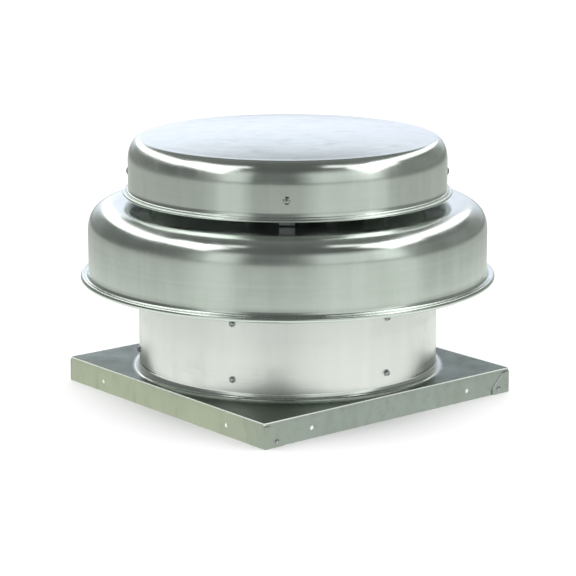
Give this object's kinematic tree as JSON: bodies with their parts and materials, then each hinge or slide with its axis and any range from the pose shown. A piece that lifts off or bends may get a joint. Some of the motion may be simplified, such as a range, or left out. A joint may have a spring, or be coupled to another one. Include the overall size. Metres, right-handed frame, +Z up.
{
  "type": "downblast exhaust fan",
  "caption": "Spun aluminium downblast exhaust fan: square curb cap, throat cylinder, round shroud and motor cover over a direct-drive centrifugal wheel.",
  "frame": {"origin": "centre of the curb cap's lower edge, on the fan's shaft", "axes": "+Z up along the shaft; X and Y square to the curb cap's sides; the lapped corner tabs are on the flanges at +X and -X"},
  "size_m": [0.7338, 0.7338, 0.467],
  "materials": {
    "spun_aluminium": "spun, fine rings round the axis",
    "folded_aluminium": "mill finish",
    "zinc_plated_steel": "bright zinc plate",
    "galvanised_steel": "galvanised",
    "motor_paint": "satin",
    "core_steel": "plain",
    "bright_steel": "ground",
    "rubber": "matte",
    "switch_plastic": "moulded"
  },
  "bodies": {
    "housing": {"throat_cylinder": "spun_aluminium", "inlet_venturi": "spun_aluminium", "shroud": "spun_aluminium", "motor_cover": "spun_aluminium", "curb_cap": "folded_aluminium", "throat_screw_lower_1": "zinc_plated_steel", "throat_screw_lower_2": "zinc_plated_steel", "throat_screw_lower_3": "zinc_plated_steel", "throat_screw_lower_4": "zinc_plated_steel", "throat_screw_lower_5": "zinc_plated_steel", "throat_screw_lower_6": "zinc_plated_steel", "throat_screw_upper_1": "zinc_plated_steel", "throat_screw_upper_2": "zinc_plated_steel", "throat_screw_upper_3": "zinc_plated_steel", "throat_screw_upper_4": "zinc_plated_steel", "throat_screw_upper_5": "zinc_plated_steel", "throat_screw_upper_6": "zinc_plated_steel", "cap_screw_1": "zinc_plated_steel", "cap_screw_2": "zinc_plated_steel", "cap_screw_3": "zinc_plated_steel", "cap_screw_4": "zinc_plated_steel", "corner_rivet_1": "zinc_plated_steel", "corner_rivet_2": "zinc_plated_steel", "corner_rivet_3": "zinc_plated_steel", "corner_rivet_4": "zinc_plated_steel", "cap_bracket_1": "galvanised_steel", "cap_bracket_2": "galvanised_steel", "cap_bracket_3": "galvanised_steel", "cap_bracket_4": "galvanised_steel", "shroud_strut_1": "galvanised_steel", "shroud_strut_2": "galvanised_steel", "shroud_strut_3": "galvanised_steel", "motor_plate": "galvanised_steel", "disconnect_box": "galvanised_steel", "disconnect_cover": "galvanised_steel", "motor_conduit": "galvanised_steel", "motor_shell": "motor_paint", "motor_top_bell": "motor_paint", "motor_bottom_bell": "motor_paint", "stator_core": "core_steel", "bearing_lower": "bright_steel", "bearing_upper": "bright_steel", "motor_isolator_1": "rubber", "motor_isolator_2": "rubber", "motor_isolator_3": "rubber"},
    "rotor": {"motor_shaft": "bright_steel", "rotor_core": "core_steel", "wheel_hub": "core_steel", "hub_set_screw": "zinc_plated_steel", "wheel_back_plate": "spun_aluminium", "wheel_inlet_ring": "spun_aluminium", "wheel_blade_1": "spun_aluminium", "wheel_blade_2": "spun_aluminium", "wheel_blade_3": "spun_aluminium", "wheel_blade_4": "spun_aluminium", "wheel_blade_5": "spun_aluminium", "wheel_blade_6": "spun_aluminium", "wheel_blade_7": "spun_aluminium", "wheel_blade_8": "spun_aluminium"},
    "toggle": {"disconnect_toggle": "switch_plastic"}
  },
  "joints": [
    {"name": "wheel_spin", "type": "hinge", "parent": "housing", "child": "rotor", "pos_m": [0, 0, 0.3], "axis": [0, 0, 1], "continuous": true},
    {"name": "disconnect_throw", "type": "hinge", "parent": "housing", "child": "toggle", "pos_m": [-0.0208, 0.19791, 0.3723], "axis": [-0.9945, -0.1045, 0], "range_deg": [0, 28]}
  ]
}
